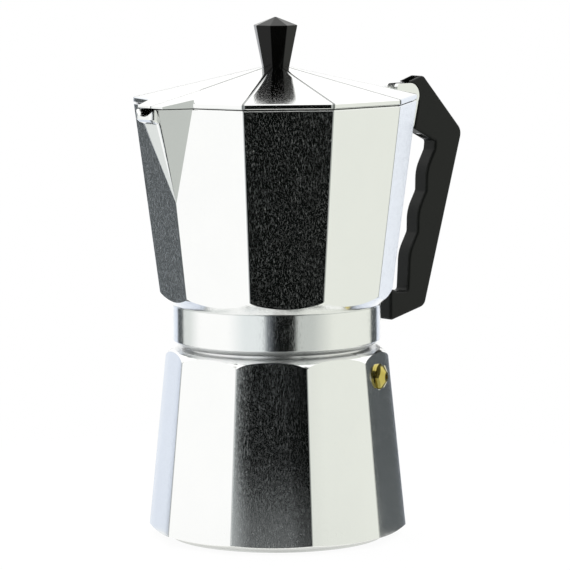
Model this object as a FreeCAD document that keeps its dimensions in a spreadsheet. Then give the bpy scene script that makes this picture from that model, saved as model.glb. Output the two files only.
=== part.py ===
"""Ten-sided stove-top coffee pot: boiler, funnel, filter, collecting chamber, lid and handle.

Units are millimetres and +Z is up. The origin is the centre of the base, on the plane the pot stands
on. +X points to the handle and the spout points to -X. Every sub-part is an object of one document,
its sizes are bound to the sheet "Sizes", and its Label is the name of the file it is written to.
"""
import FreeCAD, Part
import math
import os
import re
import Sketcher

# ---------------------------------------------------------------------------------------------
# Driving sizes: millimetres and degrees
# ---------------------------------------------------------------------------------------------
SIZES = {
    # the ten-sided body
    "facets": 10,
    "corner_round": 1.2,              # rounding of the edges between facets
    "edge_break": 0.4,                # small bevel on rims
    "boiler_turn": -8.0,              # turn of the boiler's corners from the chamber's, screwed home
    # boiler
    "foot_radius": 51.5,
    "foot_step": 0.8,
    "foot_ring": 7.0,
    "foot_recess": 0.7,
    "base_edge": 4.6,                 # height where the base bevel meets the facets' corners
    "base_corner_radius": 62.2,
    "shoulder_height": 91.4,
    "shoulder_fall": 0.8,             # slope of the shoulder from the neck to its rounded edge
    "shoulder_round": 7.0,
    "shoulder_drop": 4.0,             # facet corners end this far below the shoulder
    "shoulder_corner_radius": 53.8,
    "shoulder_margin": 0.65,          # how far the turned shoulder stands outside the facet corners
    "boiler_wall": 3.0,
    "boiler_floor": 4.0,
    "floor_round": 6.0,
    "neck_radius": 44.0,
    "neck_bore_radius": 40.0,
    "neck_height": 14.1,
    "neck_chamfer": 0.6,
    # screw thread between the boiler and the chamber
    "thread_pitch": 4.0,
    "thread_turns": 2.25,
    "thread_depth": 1.3,
    "thread_root_width": 2.2,
    "thread_crest_width": 1.0,
    "thread_lead": 1.5,               # first turn above the lower edge of the collar
    "thread_gap": 0.4,                # clearance between the two threads
    # safety valve
    "valve_height": 79.0,
    "valve_seat_distance": 51.4,      # spot face, from the pot's axis
    "valve_flange_radius": 6.2,
    "valve_flange": 1.1,
    "valve_hex_flats": 10.4,
    "valve_hex": 1.5,
    "valve_nose": 2.0,                # height of the cone in front of the hexagon
    "valve_nose_radius": 2.4,
    "valve_shank_radius": 4.0,
    "valve_shank": 6.5,
    "valve_bore_radius": 2.9,
    "valve_front": 1.8,               # metal in front of the spring chamber
    "valve_hole_radius": 1.15,
    "valve_seat_length": 1.5,
    "plunger_head_radius": 2.5,
    "plunger_head": 1.0,
    "plunger_stem_radius": 0.85,
    "plunger_sink": 1.4,              # tip below the front face while the valve is shut
    "spring_wire_radius": 0.22,
    "spring_coils": 7,
    "valve_clearance": 0.3,
    # funnel
    "flange_thickness": 1.0,
    "flange_radius": 43.0,
    "funnel_clearance": 0.4,
    "funnel_sheet": 0.8,
    "basket_depth": 35.0,
    "cone_height": 11.0,
    "stem_radius": 5.5,
    "stem_foot_gap": 5.0,             # open space between the stem and the boiler's floor
    # filter discs
    "disc_thickness": 0.6,
    "hole_radius": 0.8,
    "hole_pitch": 5.4,
    "hole_rings": 5,
    "screen_clearance": 0.3,
    # gasket and filter plate
    "gasket_thickness": 3.2,
    "gasket_bore_radius": 34.0,
    "seal_clearance": 0.4,
    "plate_radius": 37.6,
    "plate_cavity": 3.4,
    # chamber
    "collar_gap": 1.2,                # lower edge of the collar above the boiler's shoulder
    "collar_radius": 50.1,
    "collar_bevel_height": 2.7,
    "collar_bevel_width": 3.9,
    "collar_band": 17.3,
    "collar_groove": 0.5,             # fine groove where the band meets the underside
    "underside_rise": 5.4,
    "facet_end_radius": 56.2,
    "underside_round": 5.0,
    "bowl_margin": 0.15,              # how far the turned underside stands outside the facet corners
    "chamber_height": 91.4,
    "rim_radius": 68.1,
    "chamber_wall": 2.8,
    "chamber_floor": 3.0,
    "floor_bevel": 5.0,
    "column_height": 50.0,
    "column_base_radius": 9.5,
    "column_top_radius": 6.2,
    "column_bore_radius": 3.6,
    "column_spigot_radius": 5.5,
    "outlet_width": 3.0,
    "outlet_height": 5.0,
    "cap_thickness": 1.6,
    # spout
    "spout_height": 45.1,
    "spout_reach": 80.2,              # nose plane carried up to the rim
    "spout_nose_half": 6.7,
    "spout_spread": 14.6,             # cheek edge along the rim, from the corner
    "spout_wall": 2.2,
    "spout_round": 2.5,               # rounding between nose and cheek, at the rim
    "spout_inner_rise": 6.0,
    "lip_height": 7.0,
    "lip_undercut": 2.4,              # height over which the lip turns out from the nose
    "lip_reach": 81.7,
    "lip_length": 6.0,                # how far the lip runs back into the spout
    "lip_dip": 3.2,
    "lip_dip_radius": 8.0,
    # hinge of the lid, on the chamber's lug
    "pin_reach": 84.0,
    "pin_drop": 0.6,                  # pin below the rim
    "pin_radius": 1.5,
    "pin_clearance": 0.05,
    "ear_radius": 6.2,
    "ear_thickness": 2.25,
    "eye_radius": 5.0,
    "tongue_width": 4.4,
    "hinge_gap": 0.25,
    "ear_length": 8.6,
    "lug_drop": 25.0,
    # lid
    "lid_gap": 0.5,
    "lid_overhang": 0.2,
    "skirt_height": 2.5,
    "lid_rise": 13.8,
    "lid_top_radius": 6.8,
    "lid_wall": 1.4,
    "beak_start": 47.0,
    "beak_side_half": 14.6,
    "beak_side_reach": 63.3,
    "beak_nose_reach": 77.6,
    "beak_nose_half": 9.0,
    "beak_nose_height": 1.0,
    # knob
    "knob_sides": 8,
    "knob_turn": 35.3,
    "knob_body": 19.9,
    "knob_cap": 3.9,
    "knob_top_radius": 10.8,
    "knob_foot_radius": 6.7,
    "knob_round": 0.45,
    "insert_radius": 3.2,
    "insert_length": 9.0,
    "knob_screw_radius": 2.0,
    "knob_screw_head_radius": 3.8,
    "knob_screw_head": 2.4,
    "knob_screw_length": 11.0,
    "washer_radius": 4.8,
    "washer_thickness": 0.8,
    "screw_clearance": 0.2,
    # handle, placed from the hinge pin: out is +X, down is -Z
    "handle_thickness": 9.2,
    "handle_round": 1.4,
    "handle_gap": 0.3,
    "recess_radius": 6.8,
    "apex_out": 9.6,
    "apex_up": 9.7,
    "apex_round": 2.5,
    "tip_up": 7.0,
    "elbow_out": 36.2,
    "elbow_down": 18.8,
    "elbow_round": 6.0,
    "heel_out": 10.5,
    "heel_down": 8.3,                 # from the sill
    "heel_round": 4.5,
    "toe_in": 13.1,
    "toe_down": 14.2,                 # from the sill
    "toe_height": 16.4,
    "toe_round": 1.7,
    "sill_in": 1.4,
    "sill_down": 96.8,                # lower end of the grip, where the toe starts
    "sill_hollow": 7.0,
    "notch_out": 17.1,
    "notch_down": 27.6,
    "notch_round": 3.0,
    "grip_length": 69.2,              # first notch to sill, which the finger lengths belong to
    "finger_out": 5.85,               # from one notch to the next, inwards
    "finger_down": 20.2,
    "finger_bulge_in": 5.6,
    "finger_bulge_down": 9.6,
    "finger_round": 18.0,
    "throat_out": 17.6,
    "throat_down": 23.4,
    "jaw_out": 2.8,
    "jaw_down": 16.2,
    "face_top_out": 5.8,
    "face_top_down": 3.2,
    "swing_arm_gap": 0.5,             # clearance around the lid's tongue when the lid is open
    "lid_swing": 110.0,
    "tenon_width": 5.6,
    "tenon_top_down": 5.3,
    "tenon_height": 8.0,
    "tenon_reach": 19.0,
    "tenon_clearance": 0.1,
    "handle_screw_out": 12.0,
    "handle_screw_radius": 1.5,
    "handle_screw_head_radius": 2.8,
    "handle_screw_head": 2.0,
    "handle_screw_floor": 3.8,        # handle material between the screw's seat and the tenon
    "handle_washer": 0.5,
}

doc = FreeCAD.newDocument("MokaPot")
sheet = doc.addObject("Spreadsheet::Sheet", "Sizes")
for row, (alias, value) in enumerate(SIZES.items(), start=1):
    sheet.set(f"A{row}", alias)
    sheet.set(f"B{row}", str(value))
    sheet.setAlias(f"B{row}", alias)
doc.recompute()

# ---------------------------------------------------------------------------------------------
# Heights and radii that follow from the driving sizes, as formulas
# ---------------------------------------------------------------------------------------------
HALF_FACET = "(180 / facets)"
BOILER_RIM = "(shoulder_height + neck_height)"
FLANGE_TOP = f"({BOILER_RIM} + flange_thickness)"
SEAT = f"({FLANGE_TOP} + gasket_thickness)"
PLATE_TOP = f"({SEAT} + disc_thickness)"
CAVITY_TOP = f"({PLATE_TOP} + plate_cavity)"
CHAMBER_FLOOR = f"({CAVITY_TOP} + chamber_floor)"
COLLAR_FOOT = "(shoulder_height + collar_gap)"
COLLAR_TOP = f"({COLLAR_FOOT} + collar_bevel_height + collar_band)"
FACET_END = f"({COLLAR_TOP} + underside_rise)"
RIM = f"({FACET_END} + chamber_height)"
LID_FOOT = f"({RIM} + lid_gap)"
EAVE = f"({LID_FOOT} + skirt_height)"
LID_TOP = f"({EAVE} + lid_rise)"
LID_RADIUS = "(rim_radius + lid_overhang)"
LID_SLOPE = f"(lid_rise / ({LID_RADIUS} - lid_top_radius))"
PIN_HEIGHT = f"({RIM} - pin_drop)"
LUG_WIDTH = "(tongue_width + 2 * hinge_gap + 2 * ear_thickness)"
CHAMBER_FLARE = "((rim_radius - facet_end_radius) / chamber_height)"
SHOULDER_ARC_FOOT = "(shoulder_height - shoulder_fall - shoulder_round)"
SHOULDER_CORNER = "(shoulder_height - shoulder_drop)"
BOILER_FLARE = f"((base_corner_radius - shoulder_corner_radius) / ({SHOULDER_CORNER} - base_edge))"
VALVE_ANGLE = "(boiler_turn - 1.5 * 360 / facets)"
VALVE_FRONT = "(valve_flange + valve_hex + valve_nose)"
THREAD_START = f"({COLLAR_FOOT} + thread_lead)"
THREAD_LENGTH = "(thread_turns * thread_pitch)"
BASKET_RADIUS = "(neck_bore_radius - funnel_clearance)"
BASKET_FLOOR = f"({FLANGE_TOP} - basket_depth)"


def corner_radius(height):
    """Corner radius of the ten-sided chamber at a height."""
    return f"(facet_end_radius + {CHAMBER_FLARE} * ({height} - {FACET_END}))"


# ---------------------------------------------------------------------------------------------
# Binding and drawing
# ---------------------------------------------------------------------------------------------
def linked(formula):
    """Write each size in a formula as a reference to its cell."""
    return re.sub(r"[a-z_]\w*", lambda m: "Sizes." + m[0] if m[0] in SIZES else m[0], formula)


def number(formula):
    """Value of a formula, in millimetres or degrees."""
    result = sheet.evalExpression(linked(formula))
    return float(getattr(result, "Value", result))


def bind(obj, **formulas):
    """Bind properties of an object to formulas."""
    for name, formula in formulas.items():
        obj.setExpression(name, linked(formula))


def place(obj, x="0", y="0", z="0", axis=(0, 0, 1), turn="0"):
    """Bind the whole placement of an object."""
    base = f"vector({x}; {y}; {z})"
    spin = f"rotation(vector({axis[0]}; {axis[1]}; {axis[2]}); {turn})"
    obj.setExpression("Placement", linked(f"placement({base}; {spin})"))


def new(kind, name):
    """Add an object to the document."""
    return doc.addObject(kind, name)


def flat_sketch(name, height="0"):
    """Sketch on a level plane."""
    sketch = new("Sketcher::SketchObject", name)
    place(sketch, z=height)
    return sketch


def side_sketch(name):
    """Sketch on the upright XZ plane: its x is X and its y is Z."""
    sketch = new("Sketcher::SketchObject", name)
    place(sketch, axis=(1, 0, 0), turn="90")
    return sketch


def body_sketch(body, name, role):
    """Sketch on one of a body's own origin planes."""
    sketch = body.newObject("Sketcher::SketchObject", name)
    plane = [item for item in body.Origin.OriginFeatures if item.Role == role][0]
    sketch.AttachmentSupport = (plane, [""])
    sketch.MapMode = "FlatFace"
    return sketch


def rounded_path(spots, radii):
    """Split a closed path into its straight runs and the arcs that round its corners."""
    count = len(spots)
    arcs, cuts = {}, {}
    for i, radius in enumerate(radii):
        if radius is None:
            cuts[i] = (spots[i], spots[i])
            continue
        back = (spots[i - 1] - spots[i]).normalize()
        ahead = (spots[(i + 1) % count] - spots[i]).normalize()
        half = back.getAngle(ahead) / 2
        setback = radius / math.tan(half)
        entry = spots[i] + back * setback
        leave = spots[i] + ahead * setback
        centre = spots[i] + (back + ahead).normalize() * (radius / math.sin(half))
        arcs[i] = (entry, leave, centre)
        cuts[i] = (entry, leave)
    runs = [(cuts[i][1], cuts[(i + 1) % count][0]) for i in range(count)]
    return runs, arcs


def outline(sketch, points):
    """Close a loop through (x, y) or (x, y, corner radius) formulas and bind every corner."""
    count = len(points)
    spots = [FreeCAD.Vector(number(p[0]), number(p[1]), 0) for p in points]
    radii = [number(p[2]) if len(p) > 2 else None for p in points]
    runs, arcs = rounded_path(spots, radii)
    first = sketch.GeometryCount
    sketch.addGeometry([Part.LineSegment(start, end) for start, end in runs])
    rules, bound = [], []

    def measured(kind, geo, pos, value, formula):
        rule = Sketcher.Constraint(kind, -1, 1, geo, pos, value)
        rule.Name = f"{kind}_{geo}_{pos}"
        rules.append(rule)
        bound.append((rule.Name, formula))

    for i, spot in enumerate(spots):
        before, after = first + (i - 1) % count, first + i
        if i not in arcs:
            rules.append(Sketcher.Constraint("Coincident", before, 2, after, 1))
            measured("DistanceX", after, 1, spot.x, points[i][0])
            measured("DistanceY", after, 1, spot.y, points[i][1])
            continue
        entry, leave, centre = arcs[i]
        leftward = (entry - centre).cross(leave - centre).z > 0
        start, end = (entry, leave) if leftward else (leave, entry)
        circle = Part.Circle(centre, FreeCAD.Vector(0, 0, 1), radii[i])
        angles = [math.atan2(p.y - centre.y, p.x - centre.x) for p in (start, end)]
        arc = sketch.addGeometry(Part.ArcOfCircle(circle, *angles))
        corner = sketch.addGeometry(Part.Point(spot), True)
        entry_pos, leave_pos = (1, 2) if leftward else (2, 1)
        rules.append(Sketcher.Constraint("Tangent", before, 2, arc, entry_pos))
        rules.append(Sketcher.Constraint("Tangent", after, 1, arc, leave_pos))
        rules.append(Sketcher.Constraint("PointOnObject", corner, 1, before))
        rules.append(Sketcher.Constraint("PointOnObject", corner, 1, after))
        measured("DistanceX", corner, 1, spot.x, points[i][0])
        measured("DistanceY", corner, 1, spot.y, points[i][1])
        size = Sketcher.Constraint("Radius", arc, radii[i])
        size.Name = f"Radius_{arc}"
        rules.append(size)
        bound.append((size.Name, points[i][2]))
    sketch.addConstraint(rules)
    for name, formula in bound:
        sketch.setExpression(f"Constraints.{name}", linked(formula))
    return sketch


def circle(sketch, radius, x="0", y="0"):
    """Draw one bound circle."""
    centre = FreeCAD.Vector(number(x), number(y), 0)
    geo = sketch.addGeometry(Part.Circle(centre, FreeCAD.Vector(0, 0, 1), number(radius)))
    rules = [
        Sketcher.Constraint("DistanceX", -1, 1, geo, 3, centre.x),
        Sketcher.Constraint("DistanceY", -1, 1, geo, 3, centre.y),
        Sketcher.Constraint("Radius", geo, number(radius)),
    ]
    names = [f"{kind}_{geo}" for kind in ("across", "up", "radius")]
    for rule, name in zip(rules, names):
        rule.Name = name
    sketch.addConstraint(rules)
    for name, formula in zip(names, (x, y, radius)):
        sketch.setExpression(f"Constraints.{name}", linked(formula))
    return sketch


def polygon(radius, sides, turn="0", rounding=None):
    """Corners of a regular polygon, as formulas, each rounded if a rounding is given."""
    corners = []
    for k in range(round(number(sides))):
        angle = f"({turn} + {k} * 360 / {sides})"
        corner = (f"({radius}) * cos({angle})", f"({radius}) * sin({angle})")
        corners.append(corner + (rounding,) if rounding else corner)
    return corners


# ---------------------------------------------------------------------------------------------
# Solids from outlines
# ---------------------------------------------------------------------------------------------
def turned(name, points):
    """Solid turned about the Z axis from (radius, height) points."""
    solid = new("Part::Revolution", name)
    solid.Source = outline(side_sketch(name + "_profile"), points)
    solid.Axis = FreeCAD.Vector(0, 0, 1)
    solid.Base = FreeCAD.Vector(0, 0, 0)
    solid.Angle = 360
    solid.Solid = True
    return solid


def stacked(name, sections):
    """Flat-sided solid through (height, corner points) sections."""
    solid = new("Part::Loft", name)
    solid.Sections = [
        outline(flat_sketch(f"{name}_section_{i}", height), points)
        for i, (height, points) in enumerate(sections)
    ]
    solid.Solid = True
    solid.Ruled = True
    return solid


def faceted(name, levels, turn="0", sides="facets", rounding=None):
    """Many-sided solid through (height, corner radius) levels."""
    sections = [(height, polygon(radius, sides, turn, rounding)) for height, radius in levels]
    return stacked(name, sections)


def slab(name, points, width):
    """Outline on the XZ plane, extruded evenly to both sides."""
    solid = new("Part::Extrusion", name)
    solid.Base = outline(side_sketch(name + "_outline"), points)
    solid.DirMode = "Custom"
    solid.Dir = FreeCAD.Vector(0, 1, 0)
    solid.Symmetric = True
    solid.Solid = True
    bind(solid, LengthFwd=width)
    return solid


def upright(name, points, low, high):
    """Outline on a level plane, extruded upwards between two heights."""
    solid = new("Part::Extrusion", name)
    solid.Base = outline(flat_sketch(name + "_outline", low), points)
    solid.DirMode = "Custom"
    solid.Dir = FreeCAD.Vector(0, 0, 1)
    solid.Solid = True
    bind(solid, LengthFwd=f"{high} - {low}")
    return solid


def cross_pin(name, radius, length, x=None, z=PIN_HEIGHT):
    """Cylinder along Y, centred on the pot's middle plane."""
    solid = new("Part::Cylinder", name)
    bind(solid, Radius=radius, Height=length)
    place(solid, x=x or "pin_reach", y=f"({length}) / 2", z=z, axis=(1, 0, 0), turn="90")
    return solid


def post(name, radius, low, high, x="0"):
    """Upright cylinder between two heights."""
    solid = new("Part::Cylinder", name)
    bind(solid, Radius=radius, Height=f"{high} - {low}")
    place(solid, x=x, z=low)
    return solid


def block(name, x_range, width, z_range):
    """Box centred on the pot's middle plane."""
    solid = new("Part::Box", name)
    bind(solid, Length=f"{x_range[1]} - {x_range[0]}", Width=width, Height=f"{z_range[1]} - {z_range[0]}")
    place(solid, x=x_range[0], y=f"-({width}) / 2", z=z_range[0])
    return solid


def joined(name, solids):
    """Fuse solids into one."""
    result = new("Part::MultiFuse", name)
    result.Shapes = solids
    result.Refine = True
    return result


def shared(name, solids):
    """Keep what solids have in common."""
    result = new("Part::MultiCommon", name)
    result.Shapes = solids
    return result


def cut(name, base, tools):
    """Take tools away from a base, one after another."""
    for i, tool in enumerate(tools):
        last = i == len(tools) - 1
        result = new("Part::Cut", name if last else f"{name}_step_{i}")
        result.Base = base
        result.Tool = tool
        base = result
    return base


def helical(name, radius, start, length, profile):
    """Sweep a (radius, height) profile along a right-handed helix."""
    path = new("Part::Helix", name + "_path")
    path.LocalCoord = "Right-handed"
    bind(path, Pitch="thread_pitch", Height=length, Radius=radius)
    place(path, z=start)
    solid = new("Part::Sweep", name)
    solid.Sections = [outline(side_sketch(name + "_profile"), profile)]
    solid.Spine = (path, ["Edge1"])
    solid.Solid = True
    solid.Frenet = True
    return solid


# ---------------------------------------------------------------------------------------------
# PartDesign pieces
# ---------------------------------------------------------------------------------------------
def lathe_body(name, points, axis="V_Axis"):
    """Body turned from points about its own Z axis, or about its own X axis."""
    body = new("PartDesign::Body", name)
    sketch = outline(body_sketch(body, name + "_profile", "XZ_Plane"), points)
    turn = body.newObject("PartDesign::Revolution", name + "_turn")
    turn.Profile = sketch
    turn.ReferenceAxis = (sketch, [axis])
    turn.Angle = 360
    return body


def perforated_disc(name, radius, height):
    """Round disc with rings of holes, six more in each ring than in the last."""
    body = new("PartDesign::Body", name)
    pad = body.newObject("PartDesign::Pad", name + "_disc")
    pad.Profile = circle(body_sketch(body, name + "_edge", "XY_Plane"), radius)
    bind(pad, Length="disc_thickness")
    middle = body.newObject("PartDesign::Pocket", name + "_middle")
    middle.Profile = circle(body_sketch(body, name + "_middle_edge", "XY_Plane"), "hole_radius")
    middle.Type = "ThroughAll"
    middle.Midplane = True
    for ring in range(1, round(number("hole_rings")) + 1):
        edge = body_sketch(body, f"{name}_hole_{ring}_edge", "XY_Plane")
        hole = body.newObject("PartDesign::Pocket", f"{name}_hole_{ring}")
        hole.Profile = circle(edge, "hole_radius", x=f"{ring} * hole_pitch")
        hole.Type = "ThroughAll"
        hole.Midplane = True
        pattern = body.newObject("PartDesign::PolarPattern", f"{name}_ring_{ring}")
        pattern.Originals = [hole]
        pattern.Axis = (edge, ["N_Axis"])
        pattern.Angle = 360
        bind(pattern, Occurrences=f"6 * {ring}")
        body.Tip = pattern
    place(body, z=height)
    return body


# ---------------------------------------------------------------------------------------------
# Boiler
# ---------------------------------------------------------------------------------------------
def thread_profile(gap):
    """Trapezoid of one thread turn, widened all round by a gap."""
    middle = THREAD_START if gap == "0" else f"({THREAD_START} - thread_pitch)"
    root = "(neck_radius - thread_gap / 2)"
    crest = f"(neck_radius + thread_depth + {gap})"
    return [
        (root, f"{middle} - thread_root_width / 2 - {gap}"),
        (crest, f"{middle} - thread_crest_width / 2 - {gap}"),
        (crest, f"{middle} + thread_crest_width / 2 + {gap}"),
        (root, f"{middle} + thread_root_width / 2 + {gap}"),
    ]


def make_boiler():
    """Water boiler: ten-sided, with a turned base bevel and shoulder, a neck thread and a spot face."""
    rim_corner = (
        f"shoulder_corner_radius - {BOILER_FLARE} * ({BOILER_RIM} - {SHOULDER_CORNER})"
    )
    sides = faceted(
        "boiler_sides",
        [
            ("0", f"base_corner_radius + {BOILER_FLARE} * base_edge"),
            (BOILER_RIM, rim_corner),
        ],
        turn="boiler_turn",
        rounding="corner_round",
    )
    bevel_rise = "((base_edge - foot_step) / (base_corner_radius - foot_radius))"
    bevel_edge = "(base_corner_radius + 1)"
    shoulder_edge = "(shoulder_corner_radius + shoulder_margin)"
    shell = turned(
        "boiler_turning",
        [
            ("0", "foot_recess"),
            ("foot_radius - foot_ring - foot_recess", "foot_recess"),
            ("foot_radius - foot_ring", "0"),
            ("foot_radius", "0"),
            ("foot_radius", "foot_step"),
            (bevel_edge, f"base_edge + {bevel_rise}"),
            (shoulder_edge, f"{SHOULDER_ARC_FOOT} - 0.5"),
            (shoulder_edge, "shoulder_height - shoulder_fall", "shoulder_round"),
            ("neck_radius", "shoulder_height"),
            ("neck_radius", f"{BOILER_RIM} - neck_chamfer"),
            ("neck_radius - neck_chamfer", BOILER_RIM),
            ("0", BOILER_RIM),
        ],
    )
    ceiling = "(shoulder_height - shoulder_fall - boiler_wall)"
    upper = "(shoulder_corner_radius * cos(180 / facets) - boiler_wall)"
    lower = "(base_corner_radius * cos(180 / facets) - boiler_wall)"
    inside = turned(
        "boiler_inside",
        [
            ("0", "boiler_floor"),
            (f"{lower} - floor_round", "boiler_floor"),
            (lower, "boiler_floor + floor_round"),
            (upper, f"{ceiling} - shoulder_round"),
            ("neck_bore_radius", ceiling),
            ("neck_bore_radius", f"{BOILER_RIM} + 1"),
            ("0", f"{BOILER_RIM} + 1"),
        ],
    )
    thread = helical("boiler_thread", "neck_radius", THREAD_START, THREAD_LENGTH, thread_profile("0"))
    spot = valve_cylinder("boiler_spot_face", "valve_flange_radius + valve_clearance", "0", "12")
    hole = valve_cylinder("boiler_valve_hole", "valve_shank_radius", "-12", "12")
    solid = joined("boiler_solid", [shared("boiler_form", [sides, shell]), thread])
    return cut("boiler", solid, [inside, spot, hole])


# ---------------------------------------------------------------------------------------------
# Safety valve, on a level axis that points out of one facet
# ---------------------------------------------------------------------------------------------
def on_valve_axis(obj, tilt=(0, 0, 1), distance="0"):
    """Place an object made along its own X axis on the valve's axis."""
    reach = f"(valve_seat_distance + {distance})"
    place(
        obj,
        x=f"{reach} * cos({VALVE_ANGLE})",
        y=f"{reach} * sin({VALVE_ANGLE})",
        z="valve_height",
        axis=tilt,
        turn=VALVE_ANGLE,
    )


def valve_cylinder(name, radius, low, high):
    """Cylinder along the valve's axis, between two distances from the spot face."""
    solid = new("Part::Cylinder", name)
    bind(solid, Radius=radius, Height=f"({high}) - ({low})")
    reach = f"(valve_seat_distance + ({low}))"
    spin = f"rotation(vector(0; 0; 1); {VALVE_ANGLE}) * rotation(vector(0; 1; 0); 90)"
    base = f"vector({reach} * cos({VALVE_ANGLE}); {reach} * sin({VALVE_ANGLE}); valve_height)"
    solid.setExpression("Placement", linked(f"placement({base}; {spin})"))
    return solid


def make_valve_body():
    """Brass valve body: coned hexagon, flange, shank and spring chamber."""
    shoulder = "(valve_flange + valve_hex)"
    front = VALVE_FRONT
    corner = "(valve_hex_flats / 2 / cos(30))"
    blank = lathe_body(
        "valve_body",
        [
            ("-valve_shank", "valve_bore_radius"),
            ("-valve_shank", "valve_shank_radius"),
            ("0", "valve_shank_radius"),
            ("0", "valve_flange_radius"),
            ("valve_flange", "valve_flange_radius"),
            ("valve_flange", corner),
            (shoulder, corner),
            (front, "valve_nose_radius"),
            (front, "valve_hole_radius"),
            (f"{front} - valve_front", "valve_hole_radius"),
            (f"{front} - valve_front", "valve_bore_radius"),
        ],
        axis="H_Axis",
    )
    flats = body_sketch(blank, "valve_flats", "YZ_Plane")
    outline(flats, polygon("valve_hex_flats / 2 / cos(30)", "6"))
    circle(flats, "valve_flange_radius + 1")
    trim = blank.newObject("PartDesign::Pocket", "valve_hexagon")
    trim.Profile = flats
    bind(trim, Length=f"{front} + 1")
    trim.Reversed = True
    doc.recompute()
    offset = "placement(vector(0; 0; valve_flange); rotation(vector(0; 0; 1); 0))"
    flats.setExpression("AttachmentOffset", linked(offset))
    on_valve_axis(blank)
    return blank


def make_valve_seat():
    """Seat ring pressed into the inner end of the valve body."""
    ring = lathe_body(
        "valve_seat",
        [
            ("-valve_shank", "valve_hole_radius"),
            ("-valve_shank", "valve_bore_radius"),
            ("-valve_shank + valve_seat_length", "valve_bore_radius"),
            ("-valve_shank + valve_seat_length", "valve_hole_radius"),
        ],
        axis="H_Axis",
    )
    on_valve_axis(ring)
    return ring


def make_valve_plunger():
    """Plunger that the steam pushes outwards against its spring."""
    back = "(-valve_shank + valve_seat_length)"
    tip = f"({VALVE_FRONT} - plunger_sink)"
    plunger = lathe_body(
        "valve_plunger",
        [
            (back, "0"),
            (back, "plunger_head_radius"),
            (f"{back} + plunger_head", "plunger_head_radius"),
            (f"{back} + plunger_head", "plunger_stem_radius"),
            (f"{tip} - plunger_stem_radius / 2", "plunger_stem_radius"),
            (tip, "plunger_stem_radius / 2"),
            (tip, "0"),
        ],
        axis="H_Axis",
    )
    on_valve_axis(plunger)
    return plunger


def make_valve_spring():
    """Coil spring around the plunger's stem."""
    low = "(-valve_shank + valve_seat_length + plunger_head + spring_wire_radius)"
    high = f"({VALVE_FRONT} - valve_front - spring_wire_radius)"
    coil_radius = "((plunger_head_radius + plunger_stem_radius) / 2 + spring_wire_radius / 4)"
    path = new("Part::Helix", "spring_path")
    bind(path, Pitch=f"({high} - {low}) / spring_coils", Height=f"{high} - {low}", Radius=coil_radius)
    wire = side_sketch("spring_wire")
    outline(wire, [(f"{coil_radius} + {x}", y) for x, y in polygon("spring_wire_radius", "8")])
    spring = new("Part::Sweep", "valve_spring")
    spring.Sections = [wire]
    spring.Spine = (path, ["Edge1"])
    spring.Solid = True
    spring.Frenet = True
    reach = f"(valve_seat_distance + {low})"
    spin = f"rotation(vector(0; 0; 1); {VALVE_ANGLE}) * rotation(vector(0; 1; 0); 90)"
    base = f"vector({reach} * cos({VALVE_ANGLE}); {reach} * sin({VALVE_ANGLE}); valve_height)"
    spring.setExpression("Placement", linked(f"placement({base}; {spin})"))
    return spring


# ---------------------------------------------------------------------------------------------
# Funnel and its screen
# ---------------------------------------------------------------------------------------------
def make_funnel():
    """Coffee basket with its flange on the boiler's rim and its stem down in the water."""
    inner = f"({BASKET_RADIUS} - funnel_sheet)"
    stem_top = f"({BASKET_FLOOR} - cone_height)"
    stem_foot = "(boiler_floor + stem_foot_gap)"
    slope = "funnel_sheet / 2"
    return lathe_body(
        "funnel",
        [
            ("flange_radius", BOILER_RIM),
            ("flange_radius", FLANGE_TOP),
            (inner, FLANGE_TOP),
            (inner, BASKET_FLOOR),
            (f"{inner} - 2 * funnel_sheet", BASKET_FLOOR),
            ("stem_radius - funnel_sheet", f"{stem_top} + {slope}"),
            ("stem_radius - funnel_sheet", stem_foot),
            ("stem_radius", stem_foot),
            ("stem_radius", f"{stem_top} - {slope}"),
            (f"{BASKET_RADIUS} - 2 * funnel_sheet", f"{BASKET_FLOOR} - 1.5 * funnel_sheet"),
            (BASKET_RADIUS, f"{BASKET_FLOOR} - funnel_sheet / 2"),
            (BASKET_RADIUS, BOILER_RIM),
        ],
    )


def make_funnel_screen():
    """Perforated disc on the ledge at the bottom of the basket."""
    radius = f"{BASKET_RADIUS} - funnel_sheet - screen_clearance"
    return perforated_disc("funnel_screen", radius, BASKET_FLOOR)


# ---------------------------------------------------------------------------------------------
# Gasket and filter plate
# ---------------------------------------------------------------------------------------------
def make_gasket():
    """Rubber ring between the funnel's flange and the chamber."""
    return lathe_body(
        "gasket",
        [
            ("gasket_bore_radius", FLANGE_TOP),
            ("flange_radius", FLANGE_TOP),
            ("flange_radius", SEAT),
            ("gasket_bore_radius", SEAT),
        ],
    )


def make_filter_plate():
    """Perforated plate that the gasket holds up under the chamber."""
    return perforated_disc("filter_plate", "plate_radius", SEAT)


# ---------------------------------------------------------------------------------------------
# Chamber
# ---------------------------------------------------------------------------------------------
def pyramid(name, apex, top, nose, cheek, rounding="0.02"):
    """Form that widens from an apex on the chamber's corner.

    apex is (x, height); nose and cheek are (x, half width) at the top, where the nose's edges have
    the given rounding.
    """
    sections = []
    for scale in ("0.01", "1"):
        nose_x = f"(({apex[0]}) + (({nose[0]}) - ({apex[0]})) * {scale})"
        cheek_x = f"(({apex[0]}) + (({cheek[0]}) - ({apex[0]})) * {scale})"
        nose_y = f"(({nose[1]}) * {scale})"
        cheek_y = f"(({cheek[1]}) * {scale})"
        points = [
            (f"-{nose_x}", f"-{nose_y}", f"{rounding} * {scale}"),
            (f"-{cheek_x}", f"-{cheek_y}"),
            (f"-{cheek_x}", cheek_y),
            (f"-{nose_x}", nose_y, f"{rounding} * {scale}"),
        ]
        sections.append((f"({apex[1]} + ({top} - {apex[1]}) * {scale})", points))
    return stacked(name, sections)


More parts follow.
